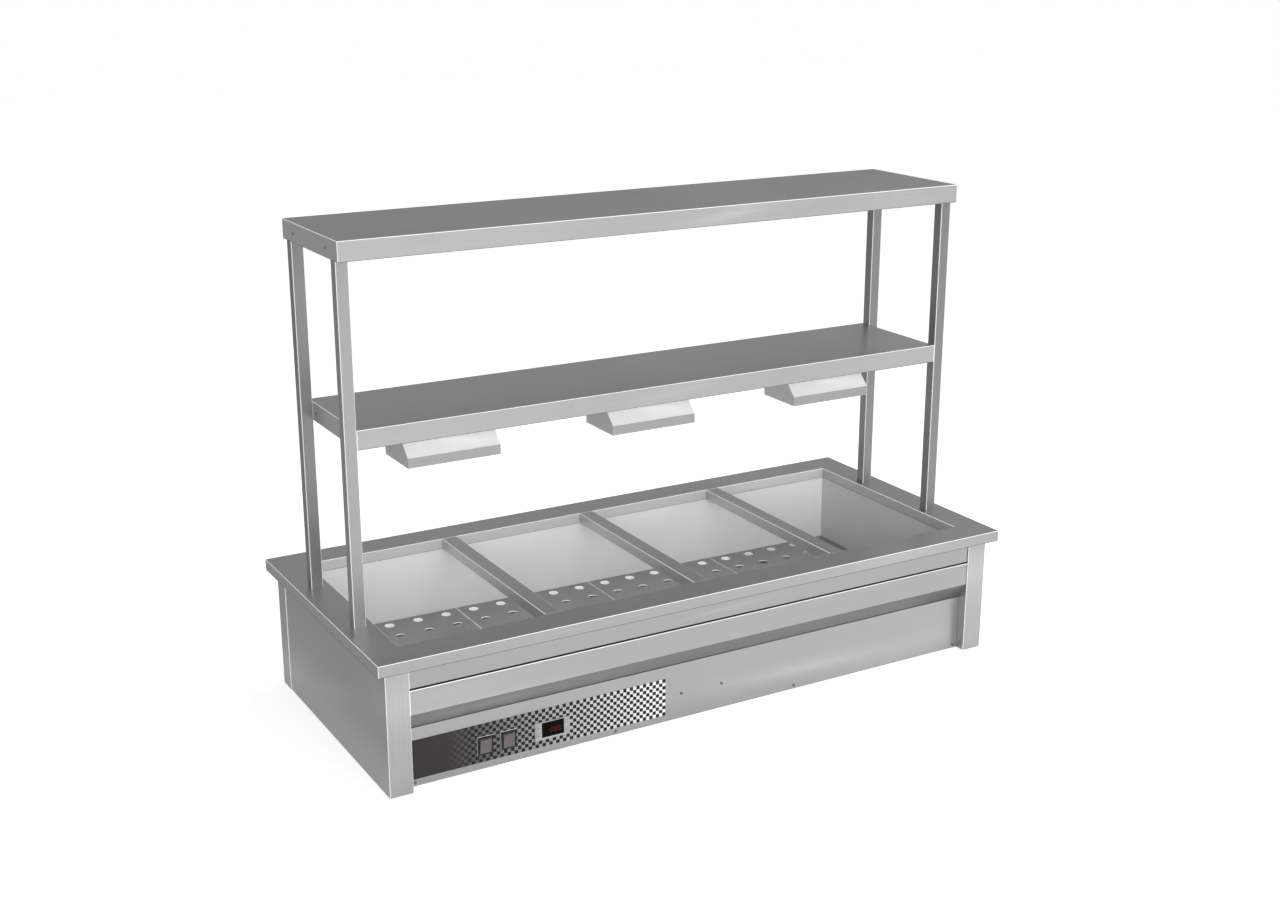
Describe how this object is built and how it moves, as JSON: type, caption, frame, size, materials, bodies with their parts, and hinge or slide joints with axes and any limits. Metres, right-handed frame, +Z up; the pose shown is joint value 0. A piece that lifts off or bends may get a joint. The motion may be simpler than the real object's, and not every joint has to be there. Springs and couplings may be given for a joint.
{
  "type": "drop-in bain-marie",
  "caption": "Drop-in heated well with lift-out perforated plates and divider bars, under a post gantry with two shelves and heat lamps.",
  "frame": {"origin": "centre of the overall box at the casing's base", "axes": "+X to the right as seen from the control side, +Y towards the back, +Z up"},
  "size_m": [1.5, 0.655, 1.05],
  "materials": {
    "steel": "fine brushed stainless",
    "element": "dull heat-tinted sheath",
    "decal": "satin film",
    "black_plastic": "satin moulded",
    "grey_plastic": "fine moulded",
    "dark_window": "polished",
    "quartz": "clear quartz",
    "ceramic": "unglazed ceramic",
    "aluminium": "bright rolled",
    "chrome_wire": "plated wire",
    "blanket": "mineral wool",
    "cable": "matt sleeve",
    "brass": "machined"
  },
  "bodies": {
    "body": {"back_panel": "steel", "base_pan": "steel", "cable_gland": "black_plastic", "contactor": "black_plastic", "control_panel": "steel", "controller_case": "grey_plastic", "controller_window": "dark_window", "decal_plate": "decal", "drain_pipes": "steel", "drain_strainer": "steel", "drain_valve_body": "brass", "element_fixings": "brass", "fasteners": "steel", "heating_element_front": "element", "heating_element_rear": "element", "insulation_blanket": "blanket", "lamp_guards": "chrome_wire", "lamp_hangers": "steel", "lamp_holders": "ceramic", "lamp_hood_1": "steel", "lamp_hood_2": "steel", "lamp_hood_3": "steel", "lamp_reflectors": "aluminium", "limit_thermostat": "black_plastic", "lower_front_band": "steel", "lower_shelf": "steel", "post_anchors": "steel", "post_front_left": "steel", "post_front_right": "steel", "post_rear_left": "steel", "post_rear_right": "steel", "post_top_rails": "steel", "quartz_tubes": "quartz", "rear_corner_left": "steel", "rear_corner_right": "steel", "shelf_end_channels": "steel", "side_panel_left": "steel", "side_panel_right": "steel", "switch_bodies": "black_plastic", "tank": "steel", "tank_probe": "steel", "terminal_block": "black_plastic", "top_deck": "steel", "upper_front_band": "steel", "upper_shelf": "steel", "wiring_looms": "cable"},
    "heater_rocker": {"heater_rocker": "black_plastic"},
    "lamp_rocker": {"lamp_rocker": "black_plastic"},
    "controller_key_1": {"controller_key_1": "grey_plastic"},
    "controller_key_2": {"controller_key_2": "grey_plastic"},
    "controller_key_3": {"controller_key_3": "grey_plastic"},
    "controller_key_4": {"controller_key_4": "grey_plastic"},
    "divider_bar_1": {"divider_bar_1": "steel"},
    "divider_bar_2": {"divider_bar_2": "steel"},
    "divider_bar_3": {"divider_bar_3": "steel"},
    "perforated_plate_1": {"perforated_plate_1": "steel"},
    "perforated_plate_2": {"perforated_plate_2": "steel"},
    "perforated_plate_3": {"perforated_plate_3": "steel"},
    "perforated_plate_4": {"perforated_plate_4": "steel"},
    "valve_lever": {"valve_lever": "steel"}
  },
  "joints": [
    {"name": "heater_rocker_tilt", "type": "hinge", "parent": "body", "child": "heater_rocker", "pos_m": [-0.519, -0.2832, 0.051], "axis": [-1, 0, 0], "range_deg": [0, 16]},
    {"name": "lamp_rocker_tilt", "type": "hinge", "parent": "body", "child": "lamp_rocker", "pos_m": [-0.468, -0.2832, 0.051], "axis": [-1, 0, 0], "range_deg": [0, 16]},
    {"name": "controller_key_1_press", "type": "slide", "parent": "body", "child": "controller_key_1", "axis": [0, 1, 0], "range_m": [0, 0.0006], "stiffness_N_per_m": 400},
    {"name": "controller_key_2_press", "type": "slide", "parent": "body", "child": "controller_key_2", "axis": [0, 1, 0], "range_m": [0, 0.0006], "stiffness_N_per_m": 400},
    {"name": "controller_key_3_press", "type": "slide", "parent": "body", "child": "controller_key_3", "axis": [0, 1, 0], "range_m": [0, 0.0006], "stiffness_N_per_m": 400},
    {"name": "controller_key_4_press", "type": "slide", "parent": "body", "child": "controller_key_4", "axis": [0, 1, 0], "range_m": [0, 0.0006], "stiffness_N_per_m": 400},
    {"name": "divider_bar_1_lift", "type": "slide", "parent": "body", "child": "divider_bar_1", "axis": [0, 0, 1], "range_m": [0, 0.2]},
    {"name": "divider_bar_2_lift", "type": "slide", "parent": "body", "child": "divider_bar_2", "axis": [0, 0, 1], "range_m": [0, 0.2]},
    {"name": "divider_bar_3_lift", "type": "slide", "parent": "body", "child": "divider_bar_3", "axis": [0, 0, 1], "range_m": [0, 0.2]},
    {"name": "perforated_plate_1_lift", "type": "slide", "parent": "body", "child": "perforated_plate_1", "axis": [0, 0, 1], "range_m": [0, 0.13]},
    {"name": "perforated_plate_2_lift", "type": "slide", "parent": "body", "child": "perforated_plate_2", "axis": [0, 0, 1], "range_m": [0, 0.13]},
    {"name": "perforated_plate_3_lift", "type": "slide", "parent": "body", "child": "perforated_plate_3", "axis": [0, 0, 1], "range_m": [0, 0.13]},
    {"name": "perforated_plate_4_lift", "type": "slide", "parent": "body", "child": "perforated_plate_4", "axis": [0, 0, 1], "range_m": [0, 0.13]},
    {"name": "valve_lever_turn", "type": "hinge", "parent": "body", "child": "valve_lever", "pos_m": [0.6, 0.085, 0.0135], "axis": [0, 0, 1], "range_deg": [0, 90]}
  ]
}
